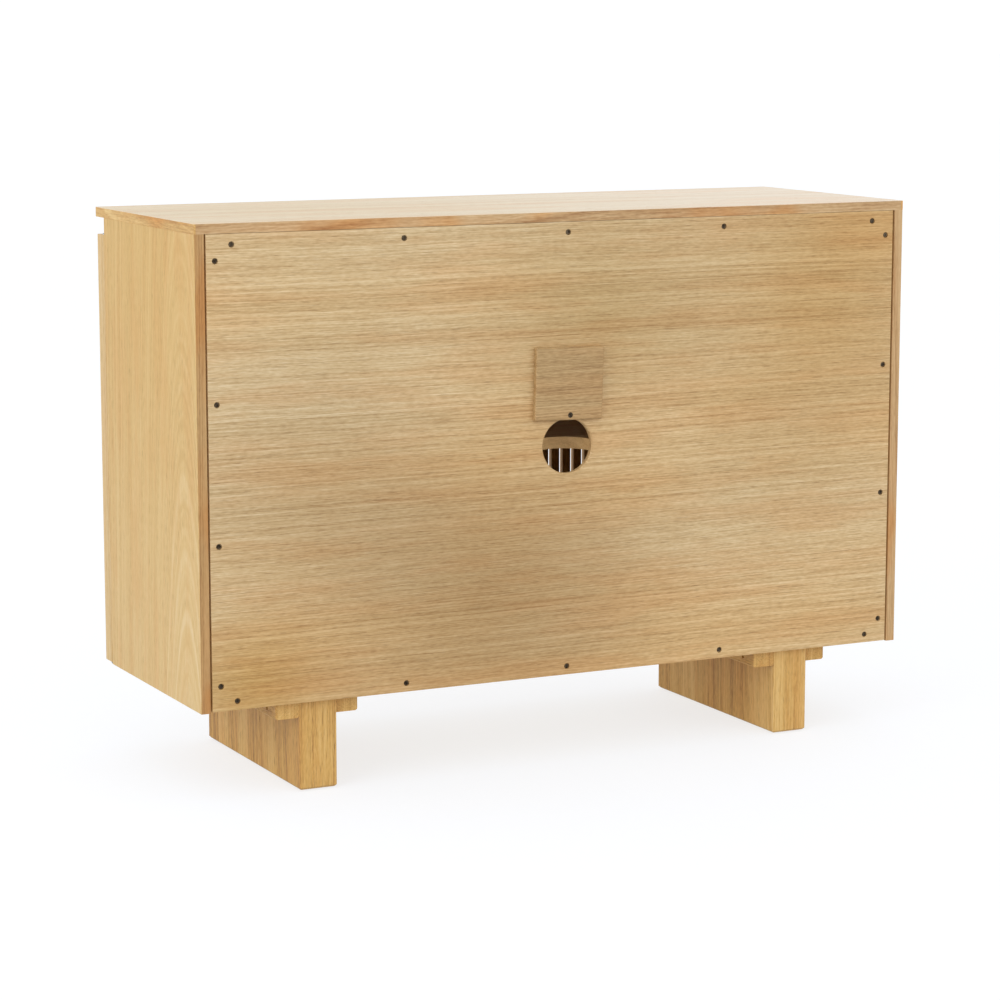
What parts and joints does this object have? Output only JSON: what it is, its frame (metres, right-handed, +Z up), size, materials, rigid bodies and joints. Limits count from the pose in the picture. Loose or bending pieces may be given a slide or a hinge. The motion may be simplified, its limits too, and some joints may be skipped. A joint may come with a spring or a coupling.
{
  "type": "media cabinet",
  "caption": "Low oak media cabinet with slatted swing doors, an inner shelf, slab feet and a screwed back panel that has a cable port and swivelling cover.",
  "frame": {"origin": "on the floor, under the middle of the outline's bounding box", "axes": "+X along the width, to the right of someone facing the doors; +Y from the doors to the back panel; +Z up"},
  "size_m": [1.2, 0.4332, 0.85],
  "materials": {
    "oak_veneer": "matt lacquered light oak veneer",
    "oak_back": "matt oak veneer, horizontal grain",
    "oak_edge": "solid oak lipping, oiled",
    "oak_solid": "solid light oak, matt lacquer",
    "oak_foot": "laminated solid oak staves, matt lacquer",
    "pine": "planed softwood",
    "beech": "turned beech dowel",
    "screw_steel": "black oxide",
    "hinge_steel": "zinc plated",
    "nylon": "moulded nylon",
    "felt": "dense wool felt",
    "magnet": "sintered magnet"
  },
  "bodies": {
    "cabinet": {"top_panel": "oak_veneer", "top_lipping": "oak_edge", "top_veneer": "oak_veneer", "side_panel_right": "oak_veneer", "side_panel_left": "oak_veneer", "side_lipping_right": "oak_edge", "side_lipping_left": "oak_edge", "side_veneer_right": "oak_veneer", "side_veneer_left": "oak_veneer", "bottom_panel": "oak_veneer", "back_panel": "oak_back", "front_top_rail": "oak_solid", "rear_top_rail": "pine", "rear_post_right": "pine", "rear_post_left": "pine", "carcass_dowels": "beech", "back_panel_screws": "screw_steel", "shelf": "oak_veneer", "shelf_pegs": "hinge_steel", "port_cover_screw": "screw_steel", "port_cover_washer": "felt", "port_cover_nut": "hinge_steel", "foot_slab_right": "oak_foot", "foot_slab_left": "oak_foot", "foot_cleat_right_outer": "oak_foot", "foot_cleat_right_inner": "oak_foot", "foot_cleat_left_outer": "oak_foot", "foot_cleat_left_inner": "oak_foot", "cleat_side_screws": "screw_steel", "cleat_up_screws": "screw_steel", "foot_glides": "felt", "right_hinge_plates": "hinge_steel", "right_hinge_pins": "hinge_steel", "right_hinge_screws": "screw_steel", "left_hinge_plates": "hinge_steel", "left_hinge_pins": "hinge_steel", "left_hinge_screws": "screw_steel", "catch_housings": "nylon", "catch_magnets": "magnet", "catch_screws": "screw_steel"},
    "right_door": {"right_hinge_stile": "oak_solid", "right_meeting_stile": "oak_solid", "right_door_top_rail": "oak_solid", "right_door_bottom_rail": "oak_solid", "right_door_slats": "oak_solid", "right_hinge_bushes": "nylon", "right_strike_plate": "hinge_steel", "right_door_bumper": "felt"},
    "left_door": {"left_hinge_stile": "oak_solid", "left_meeting_stile": "oak_solid", "left_door_top_rail": "oak_solid", "left_door_bottom_rail": "oak_solid", "left_door_slats": "oak_solid", "left_hinge_bushes": "nylon", "left_strike_plate": "hinge_steel", "left_door_bumper": "felt"},
    "port_cover": {"port_cover": "oak_back"}
  },
  "joints": [
    {"name": "right_door_swing", "type": "hinge", "parent": "cabinet", "child": "right_door", "pos_m": [0.5935, -0.18865, 0.474], "axis": [0, 0, 1], "range_deg": [0, 105]},
    {"name": "left_door_swing", "type": "hinge", "parent": "cabinet", "child": "left_door", "pos_m": [-0.5935, -0.18865, 0.474], "axis": [0, 0, -1], "range_deg": [0, 105]},
    {"name": "port_cover_swivel", "type": "hinge", "parent": "cabinet", "child": "port_cover", "pos_m": [0, 0.2118, 0.5424], "axis": [0, 1, 0], "continuous": true}
  ]
}
